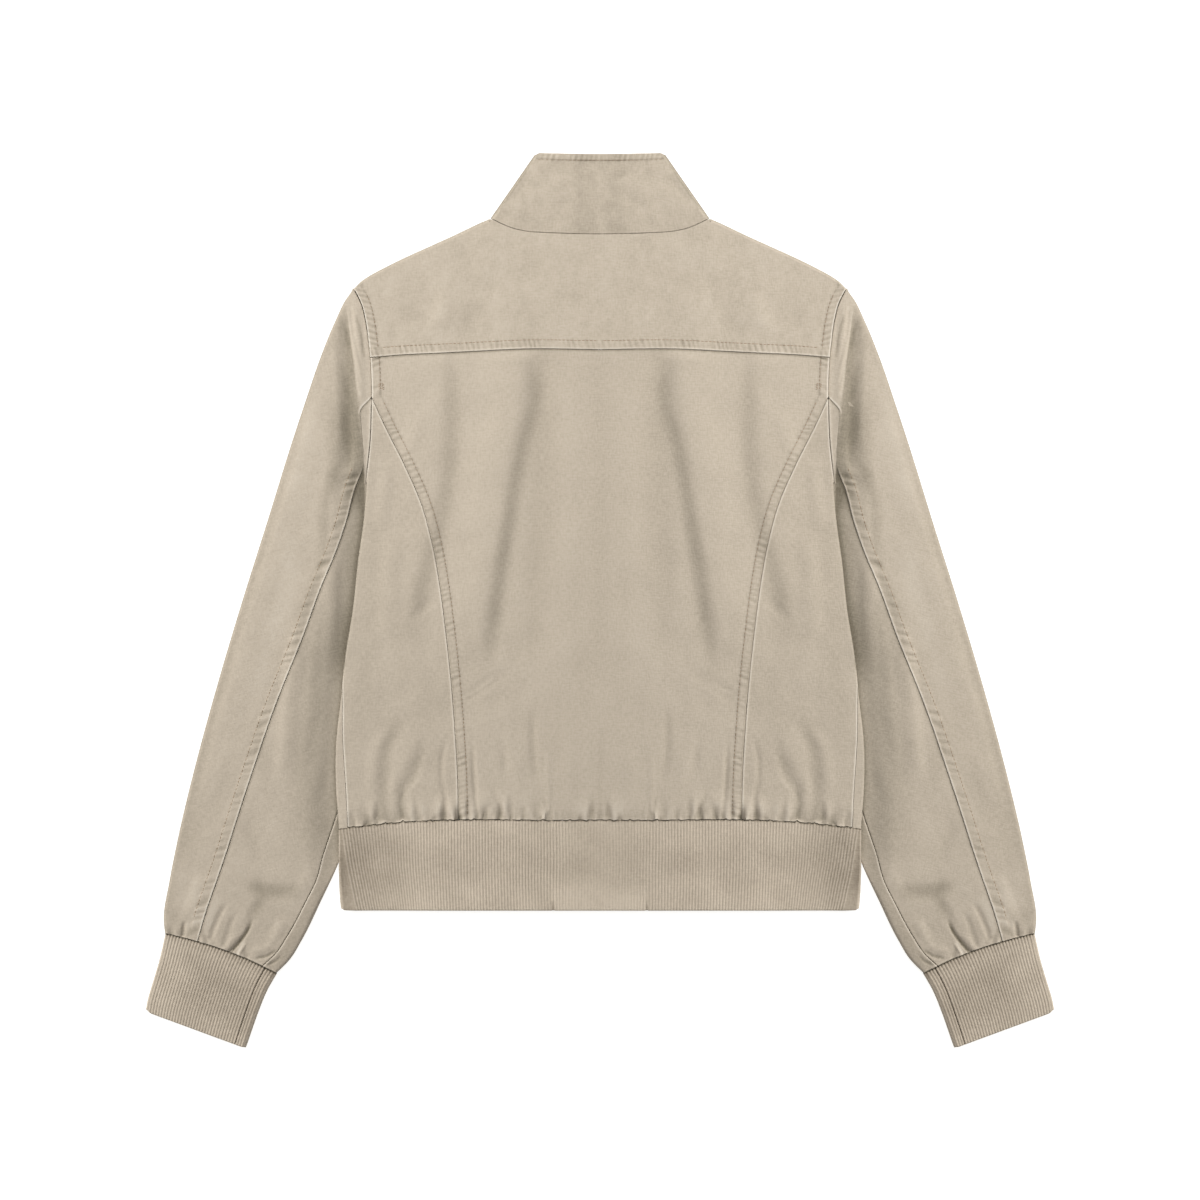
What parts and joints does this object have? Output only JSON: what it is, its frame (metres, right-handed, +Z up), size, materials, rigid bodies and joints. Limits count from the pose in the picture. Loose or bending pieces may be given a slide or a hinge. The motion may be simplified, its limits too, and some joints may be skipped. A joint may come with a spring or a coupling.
{
  "type": "short cotton jacket, laid flat",
  "caption": "Short jacket lying flat with its back up: stand collar, yoke, curved back seams, two-piece sleeves, ribbed cuffs and a gathered, ribbed hem.",
  "frame": {"origin": "on the surface that the jacket lies on, under the middle of its outline", "axes": "+X to the right seen from above, +Y from the hem to the collar, +Z up, away from the surface"},
  "size_m": [0.7564, 0.744, 0.0074],
  "materials": {
    "twill": "washed cotton twill, matt, stone beige",
    "rib": "cotton rib knit, matt, a little darker than the cloth"
  },
  "bodies": {
    "root": {"collar": "twill", "back_yoke": "twill", "back_centre": "twill", "back_side_left": "twill", "back_side_right": "twill", "front_left": "twill", "front_right": "twill", "sleeve_top_left": "twill", "sleeve_top_right": "twill", "sleeve_under_left": "twill", "sleeve_under_right": "twill", "hem_tab_left": "twill", "hem_tab_right": "twill", "cuff_left": "rib", "cuff_right": "rib", "hem_rib": "rib"}
  },
  "joints": []
}
